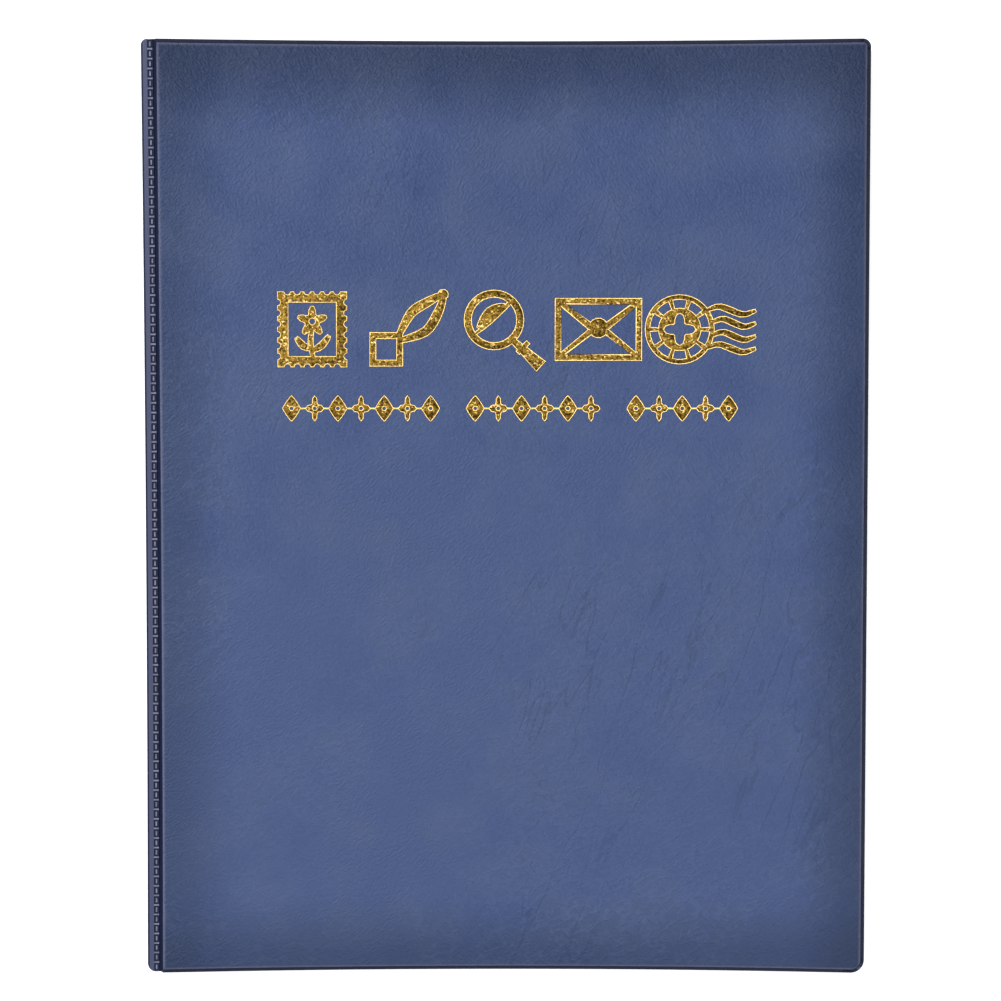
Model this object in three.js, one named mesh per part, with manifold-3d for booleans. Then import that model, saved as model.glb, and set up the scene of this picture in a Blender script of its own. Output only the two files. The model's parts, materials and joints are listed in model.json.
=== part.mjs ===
// Soft-cover stamp album, lying closed on its back cover.
// Millimetres. +X runs from the binding to the fore-edge, +Y to the head, +Z out of the front cover.
// The origin is under the middle of the album, on the surface that it lies on.

import * as THREE from 'three';
import { mergeVertices } from 'three/addons/utils/BufferGeometryUtils.js';
import Module from 'manifold-3d';

const wasm = await Module();
wasm.setup();

// ---- driving dimensions -------------------------------------------------------------------

const ALBUM_WIDTH = 200.8;        // X, binding edge to fore-edge
const ALBUM_HEIGHT = 260;         // Y, tail to head
const LEAF_COUNT = 10;

// binding edge: a stack of welded strips, then the groove that the covers turn in
const BINDING_WIDTH = 3.4;
const GROOVE_WIDTH = 1.1;
const BINDING_STRIP_THICKNESS = 1.1;
const BINDING_HEAD_RADIUS = 1.7;
const BINDING_TAIL_CHAMFER = 2.4;

// covers: lining sheet, board and foam sheet inside a welded outer skin
const LINING_THICKNESS = 0.3;
const BOARD_THICKNESS = 1.2;
const FOAM_THICKNESS = 0.74;
const SKIN_THICKNESS = 0.5;
const WELD_RIM = 1.2;             // flat welded rim round the head, tail and fore-edge
const COVER_HEAD_RADIUS = 1.8;
const COVER_TAIL_RADIUS = 4;
const PAD_EDGE_RADIUS = 1.1;      // rounded upper edge of the padded panel
const PANEL_CORNER_SPARE = 0.2;   // the panel's corners are rounder than its edge by this
const LEAST_CORNER_RADIUS = 0.5;

// leaves: a black sheet with a clear pocket film on each face
const SHEET_THICKNESS = 0.3;
const FILM_THICKNESS = 0.2;
const LEAF_MARGIN_THICKNESS = 0.62;
const LEAF_INSET = 3.2;           // leaf edges stand inside the cover edges
const LEAF_CORNER_RADIUS = 3;
const LEAF_ROOT = 3;              // free margin between the hinge line and the pockets
const POCKET_ROWS = 6;
const POCKET_SIDE_WELD = 4;
const POCKET_SLIT = 0.8;          // open upper edge of each pocket

// foil stamping on the front cover
const FOIL_THICKNESS = 0.06;
const FOIL_STROKE = 1.7;
const FOIL_ARC_STEPS = 4;
const EMBLEM_Y = 50.2;
const EMBLEM_X = [-53.3, -27.1, -0.8, 25.6, 54.2];
const BORDER_Y = 28.4;
const BORDER_PITCH = 6.4;
const BORDER_HEIGHT = 7.2;
const BORDER_MARK_REACH = 2.5;    // half a mark's width
const BORDER_HAIRLINE = 0.34;
const BORDER_EYE = 0.6;
const BORDER_GROUPS = [
  { name: 'left', x: -39.9, marks: 7 },
  { name: 'middle', x: 7.6, marks: 6 },
  { name: 'right', x: 48.8, marks: 5 },
];

// clearances
const LAY = 0.02;                 // between layers that lie on each other
const BOARD_CLEARANCE = 0.15;     // board and foam inside the skin's walls
const LEAF_GAP = 0.28;            // least air between two leaves
const COVER_GAP = 0.16;           // air between a cover and its next leaf
const TURN_CLEARANCE = 0.5;       // open cover above the binding edge

const ARC_STEPS = 6;
const CUT_SPARE = 1;              // how far a cutting solid stands past what it cuts

// ---- derived places -----------------------------------------------------------------------

const LEFT = -ALBUM_WIDTH / 2;
const RIGHT = ALBUM_WIDTH / 2;
const HEAD = ALBUM_HEIGHT / 2;
const TAIL = -ALBUM_HEIGHT / 2;

const COVER_THICKNESS = LINING_THICKNESS + LAY + BOARD_THICKNESS + LAY + FOAM_THICKNESS + LAY + SKIN_THICKNESS;
const LEAF_THICKNESS = SHEET_THICKNESS + 2 * (FILM_THICKNESS + LAY);
const MARGIN_PITCH = LEAF_MARGIN_THICKNESS + LAY;
const MARGIN_STACK = LEAF_COUNT * MARGIN_PITCH + LAY;
const BINDING_THICKNESS = MARGIN_STACK + 2 * BINDING_STRIP_THICKNESS;

// The binding edge passes below the open covers, so a thick one sets the leaves further apart.
const LEAST_BLOCK = BINDING_THICKNESS + 2 * TURN_CLEARANCE;
const LEAF_AIR = Math.max(
  LEAF_GAP,
  (LEAST_BLOCK - 2 * COVER_GAP - LEAF_COUNT * LEAF_THICKNESS) / Math.max(LEAF_COUNT - 1, 1),
);
const LEAF_PITCH = LEAF_THICKNESS + LEAF_AIR;
const BLOCK_THICKNESS = LEAF_COUNT * LEAF_PITCH - LEAF_AIR + 2 * COVER_GAP;
const ALBUM_THICKNESS = 2 * COVER_THICKNESS + BLOCK_THICKNESS;
const MIDDLE_Z = ALBUM_THICKNESS / 2;

const BINDING_RIGHT = LEFT + BINDING_WIDTH;
const HINGE_X = BINDING_RIGHT + GROOVE_WIDTH / 2;
const PANEL_LEFT = BINDING_RIGHT + GROOVE_WIDTH;
const PAGE_LEFT = HINGE_X + LEAF_ROOT;
const PAGE_RIGHT = RIGHT - LEAF_INSET;

const BINDING_TOP = MIDDLE_Z + BINDING_THICKNESS / 2;
const MARGIN_TOP = BINDING_TOP - BINDING_STRIP_THICKNESS;

// ---- materials ----------------------------------------------------------------------------

function finish(color, roughness, metalness = 0) {
  return new THREE.MeshStandardMaterial({ color, roughness, metalness });
}

const leatherette = () => finish(0x53628a, 0.5);
const weldedVinyl = () => finish(0x2b3350, 0.45);
const greyBoard = () => finish(0x8c857a, 0.9);
const foamSheet = () => finish(0xd9d6cc, 0.95);
const liningVinyl = () => finish(0x1d2233, 0.5);
const blackSheet = () => finish(0x0f1012, 0.55);
const clearFilm = () => finish(0xdfe6ea, 0.15);
const goldFoil = () => finish(0xb8892f, 0.3, 0.9);

// ---- outlines and solids ------------------------------------------------------------------

// A rectangle whose corners are rounded by the radii { tailLeft, tailRight, headRight, headLeft }.
function roundedOutline(x0, x1, y0, y1, radii) {
  const { tailLeft = 0, tailRight = 0, headRight = 0, headLeft = 0 } = radii;
  const quarter = Math.PI / 2;
  const shape = new THREE.Shape();
  shape.moveTo(x0 + tailLeft, y0);
  shape.lineTo(x1 - tailRight, y0);
  if (tailRight > 0) shape.absarc(x1 - tailRight, y0 + tailRight, tailRight, -quarter, 0, false);
  shape.lineTo(x1, y1 - headRight);
  if (headRight > 0) shape.absarc(x1 - headRight, y1 - headRight, headRight, 0, quarter, false);
  shape.lineTo(x0 + headLeft, y1);
  if (headLeft > 0) shape.absarc(x0 + headLeft, y1 - headLeft, headLeft, quarter, 2 * quarter, false);
  shape.lineTo(x0, y0 + tailLeft);
  if (tailLeft > 0) shape.absarc(x0 + tailLeft, y0 + tailLeft, tailLeft, 2 * quarter, 3 * quarter, false);
  return shape;
}

// A flat sheet of the outline, from z0 to z1.
function sheet(shape, z0, z1) {
  const geometry = new THREE.ExtrudeGeometry(shape, {
    depth: z1 - z0,
    bevelEnabled: false,
    curveSegments: ARC_STEPS,
  });
  return geometry.translate(0, 0, z0);
}

// A block of the outline whose upper and lower edges are rounded.
function paddedBlock(shape, z0, z1, radius) {
  const geometry = new THREE.ExtrudeGeometry(shape, {
    depth: z1 - z0 - 2 * radius,
    bevelThickness: radius,
    bevelSize: radius,
    bevelOffset: -radius,
    bevelSegments: 3,
    curveSegments: ARC_STEPS,
  });
  return geometry.translate(0, 0, z0 + radius);
}

// A closed section in X and Z, drawn out along Y from the tail end to the head end.
function alongBinding(points, y0, y1) {
  const section = new THREE.Shape(points.map(([x, z]) => new THREE.Vector2(x, z)));
  const geometry = new THREE.ExtrudeGeometry(section, { depth: y1 - y0, bevelEnabled: false });
  return geometry.rotateX(Math.PI / 2).translate(0, y1, 0);
}

// The section of a strip that runs from (x0, z0) to (x1, z1), level at both ends.
function stripSection(x0, z0, bend, x1, z1, thickness) {
  const half = thickness / 2;
  return [
    [x0, z0 - half],
    [bend, z0 - half],
    [x1, z1 - half],
    [x1, z1 + half],
    [bend, z0 + half],
    [x0, z0 + half],
  ];
}

function toSolid(geometry) {
  const bare = geometry.clone();
  bare.deleteAttribute('normal');
  bare.deleteAttribute('uv');
  const merged = mergeVertices(bare, 1e-4);
  return new wasm.Manifold(new wasm.Mesh({
    numProp: 3,
    vertProperties: new Float32Array(merged.attributes.position.array),
    triVerts: new Uint32Array(merged.index.array),
  }));
}

function toGeometry(solid) {
  const { vertProperties, triVerts } = solid.getMesh();
  const geometry = new THREE.BufferGeometry();
  geometry.setAttribute('position', new THREE.BufferAttribute(vertProperties, 3));
  geometry.setIndex(new THREE.BufferAttribute(triVerts, 1));
  return geometry;
}

function joined(geometries, cuts = []) {
  let solid = geometries.map(toSolid).reduce((whole, piece) => whole.add(piece));
  for (const cut of cuts) solid = solid.subtract(toSolid(cut));
  return toGeometry(solid);
}

function node(name, geometry, material) {
  const mesh = new THREE.Mesh(geometry, material);
  mesh.name = name;
  return mesh;
}

// ---- covers -------------------------------------------------------------------------------

// Corner radii of a cover outline that stands inside the cover's edge by inset.
// The padded panel needs corners wide enough for its rounded edge.
function coverRadii(headRadius, tailRadius, inset) {
  const least = inset === WELD_RIM ? PAD_EDGE_RADIUS + PANEL_CORNER_SPARE : LEAST_CORNER_RADIUS;
  return {
    headRight: Math.max(headRadius - inset, least),
    tailRight: Math.max(tailRadius - inset, least),
  };
}

// The outline of a cover layer, inside the edge by inset on its three free sides.
function coverOutline(headRadius, tailRadius, inset, hingeInset) {
  return roundedOutline(
    PANEL_LEFT + hingeInset,
    RIGHT - inset,
    TAIL + inset,
    HEAD - inset,
    coverRadii(headRadius, tailRadius, inset),
  );
}

function coverSkin(headRadius, tailRadius) {
  const outline = (inset, hingeInset) => coverOutline(headRadius, tailRadius, inset, hingeInset);
  const base = LINING_THICKNESS + LAY;
  const rim = sheet(outline(0, 0), base, base + SKIN_THICKNESS);
  const panel = paddedBlock(outline(WELD_RIM, 0), -PAD_EDGE_RADIUS, COVER_THICKNESS, PAD_EDGE_RADIUS);
  const hollow = sheet(
    outline(WELD_RIM + SKIN_THICKNESS, SKIN_THICKNESS),
    -PAD_EDGE_RADIUS,
    COVER_THICKNESS - SKIN_THICKNESS,
  );
  const below = sheet(
    roundedOutline(LEFT - CUT_SPARE, RIGHT + CUT_SPARE, TAIL - CUT_SPARE, HEAD + CUT_SPARE, {}),
    -2 * PAD_EDGE_RADIUS,
    base,
  );
  return joined([rim, panel], [hollow, below]);
}

// One cover in its own frame: lining at z = 0, skin outwards along +Z.
function cover(name, headRadius, tailRadius) {
  const inner = WELD_RIM + SKIN_THICKNESS + BOARD_CLEARANCE;
  const core = () => coverOutline(headRadius, tailRadius, inner, SKIN_THICKNESS + BOARD_CLEARANCE);
  const boardTop = LINING_THICKNESS + LAY + BOARD_THICKNESS;
  const lining = sheet(coverOutline(headRadius, tailRadius, 0, 0), 0, LINING_THICKNESS);
  const board = sheet(core(), LINING_THICKNESS + LAY, boardTop);
  const foam = sheet(core(), boardTop + LAY, boardTop + LAY + FOAM_THICKNESS);
  const group = new THREE.Group();
  group.add(
    node(`${name}_lining`, lining, liningVinyl()),
    node(`${name}_board`, board, greyBoard()),
    node(`${name}_foam`, foam, foamSheet()),
    node(`${name}_skin`, coverSkin(headRadius, tailRadius), leatherette()),
  );
  return group;
}

function frontCover() {
  const group = cover('front_cover', COVER_HEAD_RADIUS, COVER_TAIL_RADIUS);
  group.position.z = ALBUM_THICKNESS - COVER_THICKNESS;
  return group;
}

// The back cover is turned over about X, which swaps its head and tail.
function backCover() {
  const group = cover('back_cover', COVER_TAIL_RADIUS, COVER_HEAD_RADIUS);
  group.rotation.x = Math.PI;
  group.position.z = COVER_THICKNESS;
  return group;
}

// ---- binding edge -------------------------------------------------------------------------

function bindingOutline() {
  const shape = new THREE.Shape();
  shape.moveTo(LEFT + BINDING_TAIL_CHAMFER, TAIL);
  shape.lineTo(BINDING_RIGHT, TAIL);
  shape.lineTo(BINDING_RIGHT, HEAD);
  shape.lineTo(LEFT + BINDING_HEAD_RADIUS, HEAD);
  shape.absarc(
    LEFT + BINDING_HEAD_RADIUS,
    HEAD - BINDING_HEAD_RADIUS,
    BINDING_HEAD_RADIUS,
    Math.PI / 2,
    Math.PI,
    false,
  );
  shape.lineTo(LEFT, TAIL + BINDING_TAIL_CHAMFER);
  return shape;
}

function bindingStrips() {
  const backTop = ALBUM_THICKNESS - MARGIN_TOP;
  const front = sheet(bindingOutline(), MARGIN_TOP, BINDING_TOP);
  const back = sheet(bindingOutline(), ALBUM_THICKNESS - BINDING_TOP, backTop);
  return [
    node('front_binding_strip', front, leatherette()),
    node('back_binding_strip', back, leatherette()),
  ];
}

// The thin web of skin that joins a binding strip to its cover across the groove.
function hingeWebs() {
  const half = SKIN_THICKNESS / 2;
  const stripZ = BINDING_TOP - half;
  const coverZ = ALBUM_THICKNESS - COVER_THICKNESS + LINING_THICKNESS + LAY + half;
  const bend = HINGE_X - GROOVE_WIDTH / 4;
  const x0 = BINDING_RIGHT + LAY;
  const x1 = PANEL_LEFT - LAY;
  const section = stripSection(x0, stripZ, bend, x1, coverZ, SKIN_THICKNESS);
  const mirrored = section.map(([x, z]) => [x, ALBUM_THICKNESS - z]).reverse();
  return [
    node('front_hinge_web', alongBinding(section, TAIL, HEAD), weldedVinyl()),
    node('back_hinge_web', alongBinding(mirrored, TAIL, HEAD), weldedVinyl()),
  ];
}

// ---- leaves -------------------------------------------------------------------------------

function leafOutline() {
  return roundedOutline(PAGE_LEFT, PAGE_RIGHT, TAIL + LEAF_INSET, HEAD - LEAF_INSET, {
    headRight: LEAF_CORNER_RADIUS,
    tailRight: LEAF_CORNER_RADIUS,
  });
}

// The pocket film: one clear sheet, slit along the upper edge of each pocket row.
function filmOutline() {
  const shape = leafOutline();
  const rowPitch = (ALBUM_HEIGHT - 2 * LEAF_INSET) / POCKET_ROWS;
  const x0 = PAGE_LEFT + POCKET_SIDE_WELD;
  const x1 = PAGE_RIGHT - POCKET_SIDE_WELD;
  for (let row = 1; row <= POCKET_ROWS; row += 1) {
    const top = TAIL + LEAF_INSET + row * rowPitch - POCKET_SIDE_WELD;
    const slit = new THREE.Path();
    slit.moveTo(x0, top - POCKET_SLIT);
    slit.lineTo(x0, top);
    slit.lineTo(x1, top);
    slit.lineTo(x1, top - POCKET_SLIT);
    slit.closePath();
    shape.holes.push(slit);
  }
  return shape;
}

// The bound margin of a leaf: welded into the stack, then rising or falling to its page.
function leafMargin(index, pageZ) {
  const stackZ = MARGIN_TOP - LAY - LEAF_MARGIN_THICKNESS / 2 - index * MARGIN_PITCH;
  const inset = Math.max(BINDING_HEAD_RADIUS, BINDING_TAIL_CHAMFER);
  const section = stripSection(
    LEFT + LAY,
    stackZ,
    BINDING_RIGHT,
    PAGE_LEFT - LAY,
    pageZ,
    LEAF_MARGIN_THICKNESS,
  );
  return alongBinding(section, TAIL + Math.max(LEAF_INSET, inset), HEAD - Math.max(LEAF_INSET, inset));
}

function leaf(index) {
  const number = String(index + 1).padStart(2, '0');
  const top = ALBUM_THICKNESS - COVER_THICKNESS - COVER_GAP - index * LEAF_PITCH;
  const pageZ = top - LEAF_THICKNESS / 2;
  const sheetTop = pageZ + SHEET_THICKNESS / 2;
  const sheetBottom = pageZ - SHEET_THICKNESS / 2;
  const frontFilm = sheet(filmOutline(), sheetTop + LAY, sheetTop + LAY + FILM_THICKNESS);
  const backFilm = sheet(filmOutline(), sheetBottom - LAY - FILM_THICKNESS, sheetBottom - LAY);
  return [
    node(`leaf_${number}_sheet`, sheet(leafOutline(), sheetBottom, sheetTop), blackSheet()),
    node(`leaf_${number}_front_pockets`, frontFilm, clearFilm()),
    node(`leaf_${number}_back_pockets`, backFilm, clearFilm()),
    node(`leaf_${number}_margin`, leafMargin(index, pageZ), blackSheet()),
  ];
}

// ---- foil ornaments -----------------------------------------------------------------------
// Each ornament is one connected flat shape, drawn about its own middle.

function flat(shape) {
  return new THREE.ExtrudeGeometry(shape, {
    depth: FOIL_THICKNESS,
    bevelEnabled: false,
    curveSegments: FOIL_ARC_STEPS,
  });
}

// A closed outline about (x, y) whose radius is a formula of the angle.
function polarPoints(x, y, steps, radiusAt) {
  return Array.from({ length: steps }, (_, step) => {
    const angle = (2 * Math.PI * step) / steps;
    const radius = radiusAt(angle);
    return new THREE.Vector2(x + radius * Math.cos(angle), y + radius * Math.sin(angle));
  });
}

function disc(x, y, radius, steps) {
  return new THREE.Shape(polarPoints(x, y, steps, () => radius));
}

function pierced(shape, ...holes) {
  for (const hole of holes) shape.holes.push(new THREE.Path(hole));
  return shape;
}

// A straight stroke from one point to another, whose width may change along it.
function stroke(x0, y0, x1, y1, width0 = FOIL_STROKE, width1 = width0) {
  const along = new THREE.Vector2(x1 - x0, y1 - y0).normalize();
  const corner = (x, y, offset) => new THREE.Vector2(x - along.y * offset, y + along.x * offset);
  return flat(new THREE.Shape([
    corner(x0, y0, -width0 / 2),
    corner(x1, y1, -width1 / 2),
    corner(x1, y1, width1 / 2),
    corner(x0, y0, width0 / 2),
  ]));
}

// A stroke that swells and thins along a curve through the points.
function brushStroke(points, widest, steps = 12) {
  const curve = new THREE.SplineCurve(points.map(([x, y]) => new THREE.Vector2(x, y)));
  const near = [];
  const far = [];
  for (let step = 0; step <= steps; step += 1) {
    const at = step / steps;
    const middle = curve.getPoint(at);
    const tangent = curve.getTangent(at);
    const half = (widest / 2) * (0.25 + 0.75 * Math.sin(Math.PI * (0.12 + 0.76 * at)));
    near.push(new THREE.Vector2(middle.x + tangent.y * half, middle.y - tangent.x * half));
    far.unshift(new THREE.Vector2(middle.x - tangent.y * half, middle.y + tangent.x * half));
  }
  return flat(new THREE.Shape([...near, ...far]));
}

// One side of a perforated edge: round bites between teeth, from (x0, y0) towards (x1, y1).
function perforate(shape, x0, y0, x1, y1, bites, radius) {
  const inward = Math.atan2(y1 - y0, x1 - x0);
  for (let bite = 1; bite < bites; bite += 1) {
    const at = bite / bites;
    shape.absarc(x0 + (x1 - x0) * at, y0 + (y1 - y0) * at, radius, inward + Math.PI, inward, true);
  }
  shape.lineTo(x1, y1);
}

// A small perforated stamp with a flower in its window.
function stampEmblem() {
  const halfWidth = 9.6;
  const halfHeight = 10.4;
  const border = 3;
  const bites = 7;
  const bite = 0.85;
  const frame = new THREE.Shape();
  frame.moveTo(-halfWidth, -halfHeight);
  perforate(frame, -halfWidth, -halfHeight, halfWidth, -halfHeight, bites, bite);
  perforate(frame, halfWidth, -halfHeight, halfWidth, halfHeight, bites, bite);
  perforate(frame, halfWidth, halfHeight, -halfWidth, halfHeight, bites, bite);
  perforate(frame, -halfWidth, halfHeight, -halfWidth, -halfHeight, bites, bite);
  const window = roundedOutline(
    border - halfWidth,
    halfWidth - border,
    border - halfHeight,
    halfHeight - border,
    {},
  );
  pierced(frame, window.getPoints());
  const bloom = new THREE.Shape(polarPoints(0, 2.2, 30, (angle) => 3.2 + 1.2 * Math.sin(5 * angle)));
  return joined([
    flat(frame),
    flat(pierced(bloom, polarPoints(0, 2.2, 8, () => 0.9))),
    brushStroke([[0.5, 1.6 - halfHeight], [-0.5, -3.5], [0.1, 0.4]], 1.6, 6),
    brushStroke([[0, -5.9], [2.6, -4.4], [4.7, -1.7]], 2.1, 6),
    brushStroke([[0, -5.3], [-2.4, -4.6], [-4.5, -2.2]], 2.1, 6),
  ]);
}

// Stamp tongs lifting a small stamp.
function tongsEmblem() {
  const stamp = roundedOutline(-10.4, -1.2, -10.2, -0.8, {});
  const window = roundedOutline(-8.6, -3, -8.4, -2.6, {});
  return joined([
    flat(pierced(stamp, window.getPoints())),
    brushStroke([[-2.6, -2.2], [1, 4.4], [5.4, 7.4], [10, 9.8]], 2.8),
    brushStroke([[-2.1, -3.1], [5, -0.6], [8.4, 4.4], [10.2, 9.3]], 2.8),
    flat(disc(9.9, 9.6, 1.5, 12)),
  ]);
}

// A hand lens with a leaf on its glass.
function lensEmblem() {
  const [x, y] = [-2.4, 2.6];
  const rim = pierced(disc(x, y, 8.3, 32), polarPoints(x, y, 28, () => 6.2));
  return joined([
    flat(rim),
    stroke(3.1, -3.3, 10.6, -10.2, 1.8, 3.8),
    stroke(4.1, -6.5, 7.1, -3.5, 1.4),
    brushStroke([[-8.2, -1.7], [-4, 1.6], [1.2, 6.6], [2.7, 8.3]], 1.3, 8),
    brushStroke([[-6.5, 0.1], [-3.4, 4.6], [0.9, 6.4]], 3.2, 8),
  ]);
}

// An envelope seen from its flap side, closed with a round seal.
function envelopeEmblem() {
  const [halfWidth, halfHeight] = [12, 8.6];
  const outer = roundedOutline(-halfWidth, halfWidth, -halfHeight, halfHeight, {});
  const inner = roundedOutline(
    FOIL_STROKE - halfWidth,
    halfWidth - FOIL_STROKE,
    FOIL_STROKE - halfHeight,
    halfHeight - FOIL_STROKE,
    {},
  );
  const [cornerX, cornerY] = [halfWidth - 0.9, halfHeight - 0.9];
  const flap = [-1, 1].map((side) => stroke(side * cornerX, cornerY, side * 0.3, -0.7, 1.3, 2.2));
  const folds = [-1, 1].map((side) => stroke(side * cornerX, -cornerY, side * 1.3, 0.1, 1.2, 1.8));
  return joined([flat(pierced(outer, inner.getPoints())), ...flap, ...folds, flat(disc(0, 0.4, 2.8, 14))]);
}

// The window between two ticks of a round mark.
function tickWindow(x, inner, outer, start, sweep) {
  const steps = 3;
  const arc = (radius, from, step) => {
    const angle = from + step;
    return new THREE.Vector2(x + radius * Math.cos(angle), radius * Math.sin(angle));
  };
  const points = [];
  for (let step = 0; step <= steps; step += 1) points.push(arc(outer, start, (sweep * step) / steps));
  for (let step = steps; step >= 0; step -= 1) points.push(arc(inner, start, (sweep * step) / steps));
  return points;
}

// A round cancellation mark with wavy bars running off to one side.
function cancelEmblem() {
  const x = -6.2;
  const radius = 9.6;
  const ticks = 10;
  const tick = 0.16;
  const windows = Array.from({ length: ticks }, (_, index) => {
    const start = (2 * Math.PI * index) / ticks + tick / 2;
    return tickWindow(x, 5.9, 8.2, start, (2 * Math.PI) / ticks - tick);
  });
  const heart = polarPoints(x, 0, 28, (angle) => 3.2 + 1.2 * Math.cos(4 * angle));
  const bars = [-5.2, -1.8, 1.8, 5.2].map((y) => {
    const start = x + Math.sqrt(radius ** 2 - y ** 2) - 0.8;
    const wave = [0, 1, 2, 3, 4].map((turn) => [
      start + ((14.8 - start) * turn) / 4,
      y + 1.1 * Math.sin((Math.PI * turn) / 2),
    ]);
    return brushStroke(wave, 1.9, 10);
  });
  return joined([flat(pierced(disc(x, 0, radius, 36), ...windows, heart)), ...bars]);
}

// The upper half of one border mark, from its left end to its right end.
function markProfile(x, index) {
  const steps = 10;
  const points = [];
  for (let step = 0; step <= steps; step += 1) {
    const angle = Math.PI * (1 - step / steps);
    const [c, s] = [Math.cos(angle), Math.sin(angle)];
    if (index % 2 === 0) {
      const sharpness = 1.7;
      const reach = BORDER_MARK_REACH * Math.sign(c) * Math.abs(c) ** sharpness;
      points.push([x + reach, (BORDER_HEIGHT / 2) * s ** sharpness]);
    } else {
      const reach = 0.72 + 0.28 * Math.cos(4 * angle);
      points.push([x + BORDER_MARK_REACH * c * reach, (BORDER_HEIGHT / 2) * s * reach]);
    }
  }
  return points;
}

// A run of border marks strung on a hairline, as one outline.
function borderRun(marks) {
  const first = (-(marks - 1) * BORDER_PITCH) / 2;
  const profile = [];
  const eyes = [];
  for (let mark = 0; mark < marks; mark += 1) {
    const x = first + mark * BORDER_PITCH;
    profile.push(...markProfile(x, mark));
    eyes.push(polarPoints(x, 0, 6, () => BORDER_EYE));
  }
  const raised = profile.map(([x, y]) => [x, Math.max(y, BORDER_HAIRLINE / 2)]);
  const upper = raised.map(([x, y]) => new THREE.Vector2(x, y));
  const lower = raised.map(([x, y]) => new THREE.Vector2(x, -y)).reverse();
  return flat(pierced(new THREE.Shape([...upper, ...lower]), ...eyes));
}

function foilOrnaments() {
  const ornaments = [
    ['foil_stamp_emblem', stampEmblem(), EMBLEM_X[0], EMBLEM_Y],
    ['foil_tongs_emblem', tongsEmblem(), EMBLEM_X[1], EMBLEM_Y],
    ['foil_lens_emblem', lensEmblem(), EMBLEM_X[2], EMBLEM_Y],
    ['foil_envelope_emblem', envelopeEmblem(), EMBLEM_X[3], EMBLEM_Y],
    ['foil_cancel_emblem', cancelEmblem(), EMBLEM_X[4], EMBLEM_Y],
    ...BORDER_GROUPS.map(({ name, x, marks }) => [`foil_border_${name}`, borderRun(marks), x, BORDER_Y]),
  ];
  return ornaments.map(([name, geometry, x, y]) => {
    const mesh = node(name, geometry, goldFoil());
    mesh.position.set(x, y, ALBUM_THICKNESS + LAY);
    return mesh;
  });
}

// ---- assembly -----------------------------------------------------------------------------

const group = new THREE.Group();
group.add(backCover(), frontCover());
group.add(...bindingStrips(), ...hingeWebs());
for (let index = 0; index < LEAF_COUNT; index += 1) group.add(...leaf(index));
group.add(...foilOrnaments());

export default group;
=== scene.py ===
import json
import math

import bmesh
import bpy
from bpy.props import FloatProperty, FloatVectorProperty, IntProperty, PointerProperty
from mathutils import Matrix, Vector, noise

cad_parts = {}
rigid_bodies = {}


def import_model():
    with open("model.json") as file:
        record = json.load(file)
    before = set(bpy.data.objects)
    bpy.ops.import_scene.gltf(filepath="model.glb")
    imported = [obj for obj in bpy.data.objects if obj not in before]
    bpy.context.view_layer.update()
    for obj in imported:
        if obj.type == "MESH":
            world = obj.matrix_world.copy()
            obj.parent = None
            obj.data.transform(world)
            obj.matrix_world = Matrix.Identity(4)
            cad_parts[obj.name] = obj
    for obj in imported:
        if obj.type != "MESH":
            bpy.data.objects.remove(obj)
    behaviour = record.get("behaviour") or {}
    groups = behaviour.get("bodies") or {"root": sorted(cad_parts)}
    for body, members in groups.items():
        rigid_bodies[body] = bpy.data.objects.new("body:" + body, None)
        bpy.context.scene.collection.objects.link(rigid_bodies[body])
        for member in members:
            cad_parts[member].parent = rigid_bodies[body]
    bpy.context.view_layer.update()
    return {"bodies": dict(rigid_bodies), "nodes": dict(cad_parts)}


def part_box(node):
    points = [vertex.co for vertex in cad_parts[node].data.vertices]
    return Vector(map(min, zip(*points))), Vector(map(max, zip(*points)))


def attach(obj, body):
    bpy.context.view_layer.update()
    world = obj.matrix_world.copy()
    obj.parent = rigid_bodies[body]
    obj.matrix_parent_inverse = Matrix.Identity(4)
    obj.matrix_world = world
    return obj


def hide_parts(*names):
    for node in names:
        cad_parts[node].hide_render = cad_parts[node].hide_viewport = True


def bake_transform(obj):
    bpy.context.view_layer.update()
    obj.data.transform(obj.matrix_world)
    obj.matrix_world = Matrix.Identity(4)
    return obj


bl_info = {
    "name": "Stamp Album",
    "version": (1, 0, 0),
    "blender": (4, 5, 0),
    "location": "View3D > Sidebar > Stamp Album",
    "description": "Padded leatherette covers, welded binding, pocket leaves and gold foil",
    "category": "Add Mesh",
}

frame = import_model()

MM = 0.001
TINY = 1e-6
CORNER_SEGMENTS = 8
BOW_REACH = 30 * MM
PAINTED_EDGE_HIGHLIGHT = "painted_edge_highlight"
UP = Vector((0, 0, 1))
LEAVES = [body for body in frame["bodies"] if body.startswith("leaf_")]
SKIN_LOW, SKIN_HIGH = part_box("front_cover_skin")
STRIP_LOW, STRIP_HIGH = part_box("front_binding_strip")
LINING_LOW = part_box("front_cover_lining")[0]
LEFT = STRIP_LOW.x
RIGHT = SKIN_HIGH.x
HEAD = SKIN_HIGH.y
TAIL = SKIN_LOW.y
BINDING_RIGHT = STRIP_HIGH.x
PANEL_LEFT = SKIN_LOW.x
ALBUM_TOP = SKIN_HIGH.z


# ---- sizes and colours a user would change ------------------------------------------------


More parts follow.
